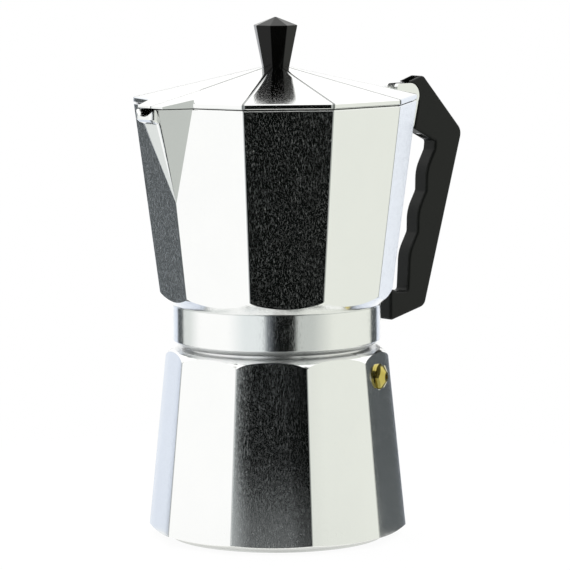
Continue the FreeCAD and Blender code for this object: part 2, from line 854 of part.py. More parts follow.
def make_spout():
    """Pouring spout: its outer form, its lip, its inner form and the dip in the lip."""
    apex_height = f"({RIM} - spout_height)"
    apex = (corner_radius(apex_height), apex_height)
    edge_x = f"(rim_radius - spout_spread * sin{HALF_FACET})"
    edge_y = f"(spout_spread * cos{HALF_FACET})"
    slope = f"(({edge_y} - spout_nose_half) / (spout_reach - {edge_x}))"
    inward = "(spout_spread / 4)"
    outer_cheek = (f"{edge_x} - {inward}", f"{edge_y} + {slope} * {inward}")
    outer_nose = ("spout_reach", "spout_nose_half")
    outer = pyramid("spout_outer", apex, RIM, outer_nose, outer_cheek, "spout_round")

    share = "((spout_height - lip_height) / spout_height)"
    nose_low = f"({apex[0]} + (spout_reach - {apex[0]}) * {share} - 0.2)"
    back = "(spout_reach - lip_length)"
    lip_low = f"({RIM} - lip_height)"
    nose_turn = f"({nose_low} + (lip_reach - {nose_low}) * 0.7)"
    lip_levels = [
        (lip_low, nose_low, f"(spout_nose_half * {share})"),
        (f"({lip_low} + lip_undercut / 2)", nose_turn, "(spout_nose_half * 0.92)"),
        (f"({lip_low} + lip_undercut)", "lip_reach", "(spout_nose_half * 0.97)"),
        (RIM, "lip_reach", "spout_nose_half"),
    ]
    lip_sections = []
    for height, front, half in lip_levels:
        near = (f"-{front}", f"-{half}", "spout_round")
        far = (f"-{front}", half, "spout_round")
        points = [near, (f"-{back}", f"-{half}"), (f"-{back}", half), far]
        lip_sections.append((height, points))
    lip = stacked("spout_lip", lip_sections)

    inner_height = f"({apex_height} + spout_inner_rise)"
    inner_reach = "(spout_reach - spout_wall)"
    inner_half = "(spout_nose_half - spout_wall * 0.75)"
    open_x = f"({edge_x} - 0.6 * spout_spread)"
    open_y = f"({inner_half} + {slope} * ({inner_reach} - {open_x}))"
    inner = pyramid(
        "spout_inner",
        (f"({corner_radius(inner_height)} - chamber_wall)", inner_height),
        f"({RIM} + 1)",
        (inner_reach, inner_half),
        (open_x, open_y),
    )
    dip = new("Part::Cylinder", "spout_lip_dip")
    bind(dip, Radius="lip_dip_radius", Height="lip_reach - rim_radius + 2")
    place(
        dip,
        x="-lip_reach - 2",
        z=f"{RIM} - lip_dip + lip_dip_radius",
        axis=(0, 1, 0),
        turn="90",
    )
    return [outer, lip], [inner, dip]


def make_lug():
    """Cast lug on the handle's side: two ears for the hinge and a tenon for the handle."""
    root = "(rim_radius - 2 * chamber_wall)"
    face_top = ("pin_reach + face_top_out - handle_gap", f"{PIN_HEIGHT} - face_top_down")
    ears = slab(
        "lug_side",
        [
            (root, f"{RIM} - lug_drop"),
            ("pin_reach + jaw_out - handle_gap", f"{PIN_HEIGHT} - jaw_down + 1"),
            face_top,
            ("pin_reach", face_top[1]),
            ("pin_reach", f"{PIN_HEIGHT} + ear_radius"),
            ("pin_reach - ear_length", f"{PIN_HEIGHT} + ear_radius", "ear_radius / 4"),
            ("pin_reach - ear_length", f"{RIM} - lid_gap"),
            (root, f"{RIM} - lid_gap"),
        ],
        LUG_WIDTH,
    )
    round_end = cross_pin("lug_round_end", "ear_radius", LUG_WIDTH)
    tenon_top = f"({PIN_HEIGHT} - tenon_top_down)"
    tenon = block(
        "lug_tenon",
        ("pin_reach", "(pin_reach + tenon_reach)"),
        "tenon_width",
        (f"({tenon_top} - tenon_height)", tenon_top),
    )
    slot_width = "(tongue_width + 2 * hinge_gap)"
    slot = block(
        "lug_slot",
        ("(pin_reach - ear_length - 1)", "(pin_reach + ear_radius + 1)"),
        slot_width,
        (f"({PIN_HEIGHT} - pin_radius)", f"({PIN_HEIGHT} + ear_radius + 1)"),
    )
    round_slot = cross_pin("lug_round_slot", "eye_radius + swing_arm_gap", slot_width)
    pin_hole = cross_pin("lug_pin_hole", "pin_radius", f"{LUG_WIDTH} + 2")
    screw_hole = post(
        "lug_screw_hole",
        "handle_screw_radius",
        f"({tenon_top} - tenon_height - 1)",
        f"({tenon_top} + 1)",
        x="pin_reach + handle_screw_out",
    )
    return [ears, round_end, tenon], [slot, round_slot, pin_hole, screw_hole]


def make_chamber():
    """Collecting chamber: ten-sided jug with spout, lug, threaded collar and filter seat."""
    bowl_edge = "(facet_end_radius + underside_round / 2)"
    levels = [
        (COLLAR_TOP, corner_radius(COLLAR_TOP)),
        (f"({RIM} - edge_break)", corner_radius(f"({RIM} - edge_break)")),
        (RIM, "rim_radius - edge_break"),
    ]
    sides = faceted("chamber_sides", levels, rounding="corner_round")
    bowl = turned(
        "chamber_bowl",
        [
            ("0", COLLAR_TOP),
            ("collar_radius", COLLAR_TOP),
            (
                "facet_end_radius + bowl_margin",
                f"{FACET_END} + 0.5",
                "underside_round",
            ),
            (bowl_edge, f"{FACET_END} + underside_round * 2"),
            ("rim_radius + 1", RIM),
            ("0", RIM),
        ],
    )
    neck = "(neck_radius + thread_gap)"
    collar = turned(
        "chamber_collar",
        [
            ("0", COLLAR_FOOT),
            ("collar_radius - collar_bevel_width", COLLAR_FOOT),
            ("collar_radius", f"{COLLAR_FOOT} + collar_bevel_height", "collar_bevel_height / 4"),
            ("collar_radius", f"{COLLAR_TOP} - collar_groove"),
            ("collar_radius - collar_groove", f"{COLLAR_TOP} - collar_groove / 2"),
            ("collar_radius", COLLAR_TOP),
            ("0", COLLAR_TOP),
        ],
    )
    spout_solids, spout_cuts = make_spout()
    lug_solids, lug_cuts = make_lug()
    floor_radius = f"({corner_radius(CHAMBER_FLOOR)} - chamber_wall / cos{HALF_FACET})"
    bevel_top = f"({CHAMBER_FLOOR} + floor_bevel)"
    inside = faceted(
        "chamber_inside",
        [
            (CHAMBER_FLOOR, f"{floor_radius} - floor_bevel"),
            (bevel_top, f"{corner_radius(bevel_top)} - chamber_wall / cos{HALF_FACET}"),
            (f"({RIM} + 1)", f"{corner_radius(f'({RIM} + 1)')} - chamber_wall / cos{HALF_FACET}"),
        ],
    )
    seal_edge = "(flange_radius + seal_clearance)"
    underside = turned(
        "chamber_underside",
        [
            ("0", f"{COLLAR_FOOT} - 1"),
            (neck, f"{COLLAR_FOOT} - 1"),
            (neck, f"{BOILER_RIM} + neck_chamfer"),
            (seal_edge, f"{BOILER_RIM} + neck_chamfer + thread_gap"),
            (seal_edge, SEAT),
            ("plate_radius + seal_clearance", SEAT),
            ("plate_radius + seal_clearance", PLATE_TOP),
            ("gasket_bore_radius", PLATE_TOP),
            ("gasket_bore_radius - plate_cavity * 2", CAVITY_TOP),
            ("column_spigot_radius", CAVITY_TOP),
            ("column_spigot_radius", f"{CHAMBER_FLOOR} + 1"),
            ("0", f"{CHAMBER_FLOOR} + 1"),
        ],
    )
    groove = helical(
        "chamber_groove",
        "neck_radius",
        f"({THREAD_START} - thread_pitch)",
        f"{THREAD_LENGTH} + 1.25 * thread_pitch",
        thread_profile("thread_gap"),
    )
    form = shared("chamber_form", [sides, bowl])
    solid = joined("chamber_solid", [form, collar] + spout_solids + lug_solids)
    return cut("chamber", solid, [inside] + spout_cuts + [underside, groove] + lug_cuts)


def make_riser_column():
    """Tapered tube in the chamber's floor, with two outlets under its cap."""
    top = f"({CHAMBER_FLOOR} + column_height)"
    tube = lathe_body(
        "riser_column",
        [
            ("column_bore_radius", CAVITY_TOP),
            ("column_spigot_radius", CAVITY_TOP),
            ("column_spigot_radius", CHAMBER_FLOOR),
            ("column_base_radius", CHAMBER_FLOOR),
            ("column_top_radius", top),
            ("column_bore_radius", top),
        ],
    )
    window = body_sketch(tube, "outlet_edge", "XZ_Plane")
    low = f"({top} - outlet_height)"
    outline(
        window,
        [
            ("-outlet_width / 2", low),
            ("outlet_width / 2", low),
            ("outlet_width / 2", f"{top} + 1"),
            ("-outlet_width / 2", f"{top} + 1"),
        ],
    )
    outlet = tube.newObject("PartDesign::Pocket", "outlets")
    outlet.Profile = window
    outlet.Type = "ThroughAll"
    outlet.Midplane = True
    return tube


def make_column_cap():
    """Small domed cap on the riser column."""
    top = f"({CHAMBER_FLOOR} + column_height)"
    return lathe_body(
        "column_cap",
        [
            ("0", f"{top} - cap_thickness"),
            ("column_bore_radius", f"{top} - cap_thickness"),
            ("column_bore_radius", top),
            ("column_top_radius", top),
            ("column_top_radius", f"{top} + cap_thickness / 2"),
            ("column_top_radius / 2", f"{top} + cap_thickness"),
            ("0", f"{top} + cap_thickness"),
        ],
    )


def make_hinge_pin():
    """Pin pressed through the chamber's two ears."""
    return cross_pin("hinge_pin", "pin_radius", LUG_WIDTH)


# ---------------------------------------------------------------------------------------------
# Lid
# ---------------------------------------------------------------------------------------------
def beak(name, inset, drop):
    """Flat-roofed beak over the spout, shrunk by an inset and lowered by a drop."""
    start = f"(beak_start + 2 * {inset})"
    nose = f"(beak_nose_reach - {inset})"
    nose_height = f"({EAVE} - skirt_height + beak_nose_height)"
    start_height = f"({EAVE} + {LID_SLOPE} * ({LID_RADIUS} - beak_start))"
    roof_slope = f"(({start_height} - {nose_height}) / (beak_nose_reach - beak_start))"
    low = f"({LID_FOOT} - {drop} * 2)"
    roof = slab(
        name + "_roof",
        [
            (f"-{nose}", low),
            (f"-{nose}", f"{nose_height} - {drop} + {roof_slope} * {inset}"),
            (f"-{start}", f"{start_height} - {drop} - {roof_slope} * ({start} - beak_start)"),
            (f"-{start}", low),
        ],
        "beak_side_half * 4",
    )
    plan = upright(
        name + "_plan",
        [
            (f"-{nose}", f"-(beak_nose_half - {inset})"),
            ("-beak_side_reach", f"-(beak_side_half - 1.2 * {inset})"),
            (f"-{start}", "0"),
            ("-beak_side_reach", f"beak_side_half - 1.2 * {inset}"),
            (f"-{nose}", f"beak_nose_half - {inset}"),
        ],
        low,
        LID_TOP,
    )
    return shared(name, [roof, plan])


def make_lid():
    """Lid: low ten-sided pyramid with a skirt, a beak over the spout and a hinge tongue."""
    roof = faceted(
        "lid_roof",
        [
            (LID_FOOT, f"{LID_RADIUS} - edge_break"),
            (f"({LID_FOOT} + edge_break)", LID_RADIUS),
            (f"({EAVE} - edge_break)", LID_RADIUS),
            (f"({EAVE} + edge_break * {LID_SLOPE})", f"{LID_RADIUS} - edge_break"),
            (LID_TOP, "lid_top_radius"),
        ],
        rounding="corner_round",
    )
    inner_radius = f"({LID_RADIUS} - lid_wall / cos{HALF_FACET})"
    inside = faceted(
        "lid_inside",
        [
            (f"({LID_FOOT} - 1)", inner_radius),
            (f"({EAVE} - lid_wall)", inner_radius),
            (f"({LID_TOP} - lid_wall)", "lid_top_radius"),
        ],
    )
    tongue_root = f"({LID_RADIUS} - 2 * lid_wall)"
    tongue = slab(
        "lid_tongue",
        [
            (tongue_root, LID_FOOT),
            ("pin_reach", LID_FOOT),
            ("pin_reach", f"{PIN_HEIGHT} + eye_radius"),
            (tongue_root, f"{EAVE} + 2 * lid_wall * {LID_SLOPE}"),
        ],
        "tongue_width",
    )
    eye = cross_pin("lid_eye", "eye_radius", "tongue_width")
    pin_hole = cross_pin("lid_pin_hole", "pin_radius + pin_clearance", "tongue_width + 2")
    screw_hole = post(
        "lid_screw_hole",
        "knob_screw_radius + screw_clearance",
        f"({LID_TOP} - 2 * lid_wall)",
        f"({LID_TOP} + 1)",
    )
    solid = joined("lid_solid", [roof, beak("lid_beak", "0", "0"), tongue, eye])
    beak_inside = beak("lid_beak_inside", "lid_wall", "lid_wall")
    return cut("lid", solid, [inside, beak_inside, pin_hole, screw_hole])


def make_knob():
    """Eight-sided knob, wider at the top, with a low pointed cap and a blind bore."""
    shoulder = f"({LID_TOP} + knob_body)"
    top = f"({shoulder} + knob_cap)"
    form = faceted(
        "knob_form",
        [
            (LID_TOP, "knob_foot_radius"),
            (shoulder, "knob_top_radius"),
            (top, "knob_round"),
        ],
        turn="knob_turn",
        sides="knob_sides",
    )
    doc.recompute()
    limit = number(LID_TOP) + number("knob_round")
    rounds = new("Part::Fillet", "knob_rounds")
    rounds.Base = form
    size = number("knob_round")
    rounds.Edges = [
        (i, size, size)
        for i, edge in enumerate(form.Shape.Edges, start=1)
        if edge.BoundBox.ZMax > limit and edge.BoundBox.ZMin < number(top) - size
    ]
    bore = post("knob_bore", "insert_radius", f"({LID_TOP} - 1)", f"({LID_TOP} + insert_length)")
    return cut("knob", rounds, [bore])


def make_knob_insert():
    """Threaded brass insert moulded into the knob."""
    return lathe_body(
        "knob_insert",
        [
            ("knob_screw_radius", LID_TOP),
            ("insert_radius", LID_TOP),
            ("insert_radius", f"{LID_TOP} + insert_length"),
            ("knob_screw_radius", f"{LID_TOP} + insert_length"),
        ],
    )


def make_knob_screw():
    """Pan-head screw that holds the knob from inside the lid."""
    seat = f"({LID_TOP} - lid_wall - washer_thickness)"
    head = f"({seat} - knob_screw_head)"
    return lathe_body(
        "knob_screw",
        [
            ("0", head),
            ("knob_screw_head_radius", head, "knob_screw_head / 3"),
            ("knob_screw_head_radius", seat),
            ("knob_screw_radius", seat),
            ("knob_screw_radius", f"{seat} + knob_screw_length"),
            ("0", f"{seat} + knob_screw_length"),
        ],
    )


def make_knob_washer():
    """Washer under the knob screw's head."""
    seat = f"({LID_TOP} - lid_wall)"
    return lathe_body(
        "knob_washer",
        [
            ("knob_screw_radius + screw_clearance", f"{seat} - washer_thickness"),
            ("washer_radius", f"{seat} - washer_thickness"),
            ("washer_radius", seat),
            ("knob_screw_radius + screw_clearance", seat),
        ],
    )


# ---------------------------------------------------------------------------------------------
# Handle
# ---------------------------------------------------------------------------------------------
def from_pin(out, down, *corner):
    """Point measured out and down from the hinge pin."""
    return (f"(pin_reach + ({out}))", f"({PIN_HEIGHT} - ({down}))", *corner)


def handle_outline():
    """Side view of the handle, anticlockwise from the tip over the hinge."""
    stretch = "((sill_down - notch_down) / grip_length)"
    points = [
        from_pin("0.9", "-tip_up"),
        from_pin("face_top_out", "face_top_down", "notch_round"),
        from_pin("jaw_out", "jaw_down", "toe_round"),
        from_pin("throat_out", "throat_down", "notch_round / 2"),
    ]
    for finger in range(3):
        notch_out = f"notch_out - {finger} * finger_out"
        notch_down = f"notch_down + {finger} * finger_down * {stretch}"
        bulge_out = f"{notch_out} - finger_bulge_in"
        bulge_down = f"{notch_down} + finger_bulge_down * {stretch}"
        points.append(from_pin(notch_out, notch_down, "notch_round"))
        points.append(from_pin(bulge_out, bulge_down, f"finger_round * {stretch}"))
    points += [
        from_pin("-sill_in", "sill_down", "toe_round"),
        from_pin("-sill_in - sill_hollow", "sill_down - 0.3", "notch_round"),
        from_pin("-toe_in", "sill_down + toe_down - toe_height", "toe_round"),
        from_pin("-toe_in", "sill_down + toe_down", "toe_round"),
        from_pin("heel_out", "sill_down + heel_down", "heel_round"),
        from_pin("elbow_out", "elbow_down", "elbow_round"),
        from_pin("apex_out", "-apex_up", "apex_round"),
    ]
    return points


def make_handle():
    """Moulded handle: cranked grip with finger bulges, a slotted head and a mortise for the tenon."""
    grip = slab("handle_grip", handle_outline(), "handle_thickness")
    doc.recompute()
    rounds = new("Part::Fillet", "handle_rounds")
    rounds.Base = grip
    size = number("handle_round")
    rounds.Edges = [
        (i, size, size)
        for i, edge in enumerate(grip.Shape.Edges, start=1)
        if edge.BoundBox.YLength < 0.01
    ]
    recess = cross_pin("handle_recess", "recess_radius", "handle_thickness + 2")
    slot_width = "tongue_width + 2 * swing_arm_gap"
    stop = "(lid_swing - 90)"
    reach = "(eye_radius + swing_arm_gap)"
    swing = slab(
        "handle_swing_slot",
        [
            from_pin("0", "0"),
            from_pin(f"{reach} * cos({stop})", f"{reach} * sin({stop})"),
            from_pin(
                f"{reach} * cos({stop}) + 2 * apex_up * sin({stop})",
                f"{reach} * sin({stop}) - 2 * apex_up * cos({stop})",
            ),
            from_pin("-recess_radius", "-2 * apex_up"),
        ],
        slot_width,
    )
    tenon_top = f"({PIN_HEIGHT} - tenon_top_down)"
    mortise = block(
        "handle_mortise",
        ("pin_reach", "(pin_reach + tenon_reach + 4 * tenon_clearance)"),
        "tenon_width + 2 * tenon_clearance",
        (f"({tenon_top} - tenon_height - tenon_clearance)", f"({tenon_top} + tenon_clearance)"),
    )
    mortise_floor = f"({tenon_top} - tenon_height - tenon_clearance)"
    seat = f"({mortise_floor} - handle_screw_floor)"
    out = "pin_reach + handle_screw_out"
    shank_hole = post(
        "handle_screw_hole",
        "handle_screw_radius + screw_clearance",
        f"({seat} - 1)",
        f"({mortise_floor} + 1)",
        x=out,
    )
    head_hole = post(
        "handle_head_hole",
        "handle_screw_head_radius + screw_clearance",
        f"({seat} - 12)",
        seat,
        x=out,
    )
    return cut("handle", rounds, [recess, swing, mortise, shank_hole, head_hole])


def handle_screw_seat():
    """Height of the plane that the handle screw's washer bears on."""
    return (
        f"({PIN_HEIGHT} - tenon_top_down - tenon_height - tenon_clearance - handle_screw_floor)"
    )


def make_handle_screw():
    """Screw from under the handle's head into the lug's tenon."""
    seat = f"({handle_screw_seat()} - handle_washer)"
    top = f"({PIN_HEIGHT} - tenon_top_down)"
    screw = lathe_body(
        "handle_screw",
        [
            ("0", f"{seat} - handle_screw_head"),
            ("handle_screw_head_radius", f"{seat} - handle_screw_head", "handle_screw_head / 3"),
            ("handle_screw_head_radius", seat),
            ("handle_screw_radius", seat),
            ("handle_screw_radius", top),
            ("0", top),
        ],
    )
    place(screw, x="pin_reach + handle_screw_out")
    return screw


def make_handle_washer():
    """Washer under the handle screw's head."""
    seat = handle_screw_seat()
    washer = lathe_body(
        "handle_washer",
        [
            ("handle_screw_radius + screw_clearance / 2", f"{seat} - handle_washer"),
            ("handle_screw_head_radius", f"{seat} - handle_washer"),
            ("handle_screw_head_radius", seat),
            ("handle_screw_radius + screw_clearance / 2", seat),
        ],
    )
    place(washer, x="pin_reach + handle_screw_out")
    return washer


# ---------------------------------------------------------------------------------------------
# Build, check and write
# ---------------------------------------------------------------------------------------------
PIECES = [
    make_boiler, make_valve_body, make_valve_seat, make_valve_plunger, make_valve_spring,
    make_funnel, make_funnel_screen, make_gasket, make_filter_plate,
    make_chamber, make_riser_column, make_column_cap, make_hinge_pin,
    make_handle, make_handle_screw, make_handle_washer,
    make_lid, make_knob, make_knob_insert, make_knob_screw, make_knob_washer,
]


def check(pieces):
    """Stop if any object failed, or any sub-part is empty, broken or in several solids."""
    for obj in doc.Objects:
        if {"Invalid", "Error"} & set(obj.State):
            raise RuntimeError(f"{obj.Name} did not build: {obj.State} {obj.getStatusString()}")
    for piece in pieces:
        shape = piece.Shape
        if shape.isNull() or not shape.isValid() or len(shape.Solids) != 1:
            raise RuntimeError(f"{piece.Label} is not one valid solid")


pieces = []
for make in PIECES:
    piece = make()
    piece.Label = make.__name__.removeprefix("make_")
    pieces.append(piece)
doc.recompute()
check(pieces)
os.makedirs("parts", exist_ok=True)
for piece in pieces:
    piece.Shape.exportStep(f"parts/{piece.Label}.step")
    box = piece.Shape.BoundBox
    print(f"{piece.Label:16s} volume {piece.Shape.Volume:10.1f}  z {box.ZMin:7.2f} to {box.ZMax:7.2f}")
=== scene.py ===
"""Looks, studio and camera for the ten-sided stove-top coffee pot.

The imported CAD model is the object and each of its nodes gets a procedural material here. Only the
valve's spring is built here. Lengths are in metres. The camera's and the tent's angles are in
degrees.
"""

import math

import bpy
from mathutils import Matrix, Vector


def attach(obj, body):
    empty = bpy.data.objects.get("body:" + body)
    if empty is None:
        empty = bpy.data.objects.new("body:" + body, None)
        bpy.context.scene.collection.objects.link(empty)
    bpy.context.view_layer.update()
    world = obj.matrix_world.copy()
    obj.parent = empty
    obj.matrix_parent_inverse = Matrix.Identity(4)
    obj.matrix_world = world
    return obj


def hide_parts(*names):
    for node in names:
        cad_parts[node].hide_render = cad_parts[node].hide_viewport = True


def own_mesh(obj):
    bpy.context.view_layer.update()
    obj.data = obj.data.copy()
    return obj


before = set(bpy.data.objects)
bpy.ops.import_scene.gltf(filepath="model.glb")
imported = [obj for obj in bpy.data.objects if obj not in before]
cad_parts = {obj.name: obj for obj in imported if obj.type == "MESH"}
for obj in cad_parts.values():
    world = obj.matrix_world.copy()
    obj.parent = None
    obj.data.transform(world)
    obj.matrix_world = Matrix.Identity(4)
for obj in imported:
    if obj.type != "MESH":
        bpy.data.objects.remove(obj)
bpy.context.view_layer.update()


# ---------------------------------------------------------------------------------------------
# Camera: azimuth 0 looks along +Y, elevation is above the horizon
# ---------------------------------------------------------------------------------------------
CAMERA_AZIMUTH = -41.334
CAMERA_ELEVATION = 6.621
CAMERA_ROLL = 0.23
CAMERA_DISTANCE = 1.7345
CAMERA_LENS = 227.47
SENSOR_WIDTH = 36
AIM_RIGHT = 0.00407
AIM_HEIGHT = 0.12107


def make_camera():
    """Long lens a little above the pot, turned so that the spout is left and the handle right."""
    azimuth, elevation = math.radians(CAMERA_AZIMUTH), math.radians(CAMERA_ELEVATION)
    back = Vector((
        math.sin(azimuth) * math.cos(elevation),
        -math.cos(azimuth) * math.cos(elevation),
        math.sin(elevation),
    ))
    right = Vector((math.cos(azimuth), math.sin(azimuth), 0))
    up = back.cross(right)
    roll = math.radians(CAMERA_ROLL)
    rolled_right = right * math.cos(roll) - up * math.sin(roll)
    rolled_up = right * math.sin(roll) + up * math.cos(roll)
    data = bpy.data.cameras.new("camera")
    data.lens = CAMERA_LENS
    data.sensor_width = SENSOR_WIDTH
    camera = bpy.data.objects.new("camera", data)
    place = right * AIM_RIGHT + Vector((0, 0, AIM_HEIGHT)) + back * CAMERA_DISTANCE
    turn = Matrix((rolled_right, rolled_up, back)).transposed()
    camera.matrix_world = Matrix.Translation(place) @ turn.to_4x4()
    bpy.context.scene.collection.objects.link(camera)
    bpy.context.scene.camera = camera


# ---------------------------------------------------------------------------------------------
# Node helpers
# ---------------------------------------------------------------------------------------------
class Tree:
    """A node tree with short calls for the nodes used below."""

    def __init__(self, tree):
        self.tree = tree
        tree.nodes.clear()

    def node(self, kind, inputs=(), **settings):
        """New node. Its inputs are named or numbered, and take plain values or sockets."""
        made = self.tree.nodes.new(kind)
        for name, value in settings.items():
            setattr(made, name, value)
        for name, value in dict(inputs).items():
            self.feed(made.inputs[name], value)
        return made

    def feed(self, socket, value):
        """Link a socket or set its plain value. A colour of three numbers is made opaque."""
        if isinstance(value, bpy.types.NodeSocket):
            self.tree.links.new(value, socket)
        elif isinstance(value, tuple) and len(value) == 3 and len(socket.default_value) == 4:
            socket.default_value = (*value, 1)
        else:
            socket.default_value = value

    def show(self, shader, kind="ShaderNodeOutputMaterial"):
        """End the tree with this shader."""
        output = self.node(kind)
        self.feed(output.inputs["Surface"], shader)

    def math(self, operation, *values):
        return self.node("ShaderNodeMath", enumerate(values), operation=operation).outputs[0]

    def object_point(self):
        return self.node("ShaderNodeTexCoord").outputs["Object"]

    def rays(self):
        return self.node("ShaderNodeLightPath").outputs

    def split(self, vector):
        return self.node("ShaderNodeSeparateXYZ", {0: vector}).outputs

    def stretched(self, vector, scale):
        made = self.node("ShaderNodeVectorMath", {0: vector, 1: scale}, operation="MULTIPLY")
        return made.outputs[0]

    def noise(self, vector, scale, detail=2.0, roughness=0.5):
        inputs = {"Vector": vector, "Scale": scale, "Detail": detail, "Roughness": roughness}
        return self.node("ShaderNodeTexNoise", inputs).outputs["Fac"]

    def times(self, *values):
        product = values[0]
        for value in values[1:]:
            product = self.math("MULTIPLY", product, value)
        return product

    def plus(self, first, second):
        return self.math("ADD", first, second)

    def minus(self, first, second):
        return self.math("SUBTRACT", first, second)

    def highest(self, first, second):
        return self.math("MAXIMUM", first, second)

    def length(self, x, y):
        return self.math("SQRT", self.plus(self.times(x, x), self.times(y, y)))

    def facing(self, x, y, angle):
        """Share of a level vector in the direction of an angle."""
        return self.plus(self.times(x, math.cos(angle)), self.times(y, math.sin(angle)))

    def mapped(self, value, low, high, new_low, new_high, smooth=False):
        inputs = {"Value": value, 1: low, 2: high, 3: new_low, 4: new_high}
        kind = "SMOOTHSTEP" if smooth else "LINEAR"
        return self.node("ShaderNodeMapRange", inputs, interpolation_type=kind).outputs[0]

    def rise(self, value, low, high):
        """Smooth step from 0 to 1."""
        return self.mapped(value, low, high, 0, 1, smooth=True)

    def fall(self, value, low, high):
        """Smooth step from 1 to 0."""
        return self.mapped(value, low, high, 1, 0, smooth=True)

    def mix(self, factor, first, second):
        return self.node("ShaderNodeMix", {0: factor, 2: first, 3: second}).outputs[0]

    def mix_colour(self, factor, first, second):
        inputs = {0: factor, 6: first, 7: second}
        return self.node("ShaderNodeMix", inputs, data_type="RGBA").outputs[2]

    def ramp(self, value, stops):
        made = self.node("ShaderNodeValToRGB", {0: value})
        elements = made.color_ramp.elements
        while len(elements) < len(stops):
            elements.new(1)
        for element, (position, colour) in zip(elements, stops):
            element.position = position
            element.color = (*colour, 1)
        return made.outputs[0]

    def bump(self, height, strength, distance, normal=None):
        inputs = {"Height": height, "Strength": strength, "Distance": distance}
        if normal is not None:
            inputs["Normal"] = normal
        return self.node("ShaderNodeBump", inputs).outputs[0]

    def diffuse(self, colour):
        return self.node("ShaderNodeBsdfDiffuse", {"Color": colour}).outputs[0]

    def glow(self, colour, strength):
        inputs = {"Color": colour, "Strength": strength}
        return self.node("ShaderNodeEmission", inputs).outputs[0]

    def add_shaders(self, first, second):
        return self.node("ShaderNodeAddShader", {0: first, 1: second}).outputs[0]

    def mix_shaders(self, factor, first, second):
        inputs = {0: factor, 1: first, 2: second}
        return self.node("ShaderNodeMixShader", inputs).outputs[0]


def new_tree(name):
    """Material with an empty node tree."""
    material = bpy.data.materials.new(name)
    material.use_nodes = True
    return material, Tree(material.node_tree)


def new_look(name, **settings):
    """Material with a Principled shader whose plain values are set on its own sockets."""
    material, tree = new_tree(name)
    shader = tree.node("ShaderNodeBsdfPrincipled", settings)
    tree.show(shader.outputs[0])
    return material, tree, shader


# ---------------------------------------------------------------------------------------------
# Studio: a white tent with a dark gap for the camera and a dark board on each side
# ---------------------------------------------------------------------------------------------
TENT_WHITE = (1.08, 1.08, 1.07)
BACK_WHITE = (0.92, 0.96, 1.02)
PALE_BLUE = (0.78, 0.84, 0.95)
COOL_WHITE = (0.84, 0.88, 0.88)
WARM_GREY = (0.86, 0.88, 0.81)
DIM_GREY = (0.56, 0.585, 0.555)
GREEN_GREY = (0.76, 0.79, 0.77)
SLATE = (0.080, 0.089, 0.092)
CAMERA_GAP = (0.0030, 0.0037, 0.0033)
UPPER_GAP = (0.046, 0.050, 0.046)
GAP_HAZE = (0.20, 0.22, 0.24)
OVERHEAD = (1.22, 1.22, 1.20)
WHITE = (1, 1, 1)
# azimuth from the camera's side of the pot, positive to the camera's right, and colour there
TENT = [
    (-180, TENT_WHITE),
    (-168, TENT_WHITE),
    (-160, BACK_WHITE),
    (-147, PALE_BLUE),
    (-144, PALE_BLUE),
    (-141, SLATE),
    (-128, SLATE),
    (-125, GREEN_GREY),
    (-112, GREEN_GREY),
    (-95, TENT_WHITE),
    (-55, TENT_WHITE),
    (-36, COOL_WHITE),
    (-14, COOL_WHITE),
    (-11, GAP_HAZE),
    (-2, CAMERA_GAP),
    (20, CAMERA_GAP),
    (23, DIM_GREY),
    (40, DIM_GREY),
    (66, WARM_GREY),
    (126, WARM_GREY),
    (130, SLATE),
    (145, SLATE),
    (149, PALE_BLUE),
    (160, BACK_WHITE),
    (168, TENT_WHITE),
    (180, TENT_WHITE),
]
TENT_TURN = CAMERA_AZIMUTH - 90


def height_at(elevation):
    """Height of a unit direction at an elevation."""
    return math.sin(math.radians(elevation))


# the gap over the camera opens out upwards: its edges to the left and right, and their spread
GAP_EDGES = (-0.21, 0.35)
GAP_SPREAD = (-0.28, 0.56)
GAP_SOFTNESS = (-0.02, 0.02)
GAP_FRONT = (-0.05, 0.05)
GAP_FOOT = (-0.085, -0.045)
GAP_TOP = (height_at(54), height_at(64))
# the gap turns lighter upwards, and the tent's wall goes over into its roof
UPPER_START = (height_at(12), height_at(20))
ROOF_START = (height_at(14), height_at(26))


def tent_wall(tree, front, side):
    """Colour of the tent's wall in a level direction."""
    azimuth = tree.math("ARCTAN2", side, front)
    share = tree.mapped(azimuth, -math.pi, math.pi, 0, 1)
    return tree.ramp(share, [((angle + 180) / 360, colour) for angle, colour in TENT])


def camera_gap(tree, front, side, height):
    """Share of the dark gap above the camera in a direction."""
    left_edge, right_edge = (
        tree.plus(tree.times(height, spread), edge) for edge, spread in zip(GAP_EDGES, GAP_SPREAD)
    )
    return tree.times(
        tree.rise(tree.minus(side, left_edge), *GAP_SOFTNESS),
        tree.rise(tree.minus(right_edge, side), *GAP_SOFTNESS),
        tree.rise(front, *GAP_FRONT),
        tree.rise(height, *GAP_FOOT),
        tree.fall(height, *GAP_TOP),
    )


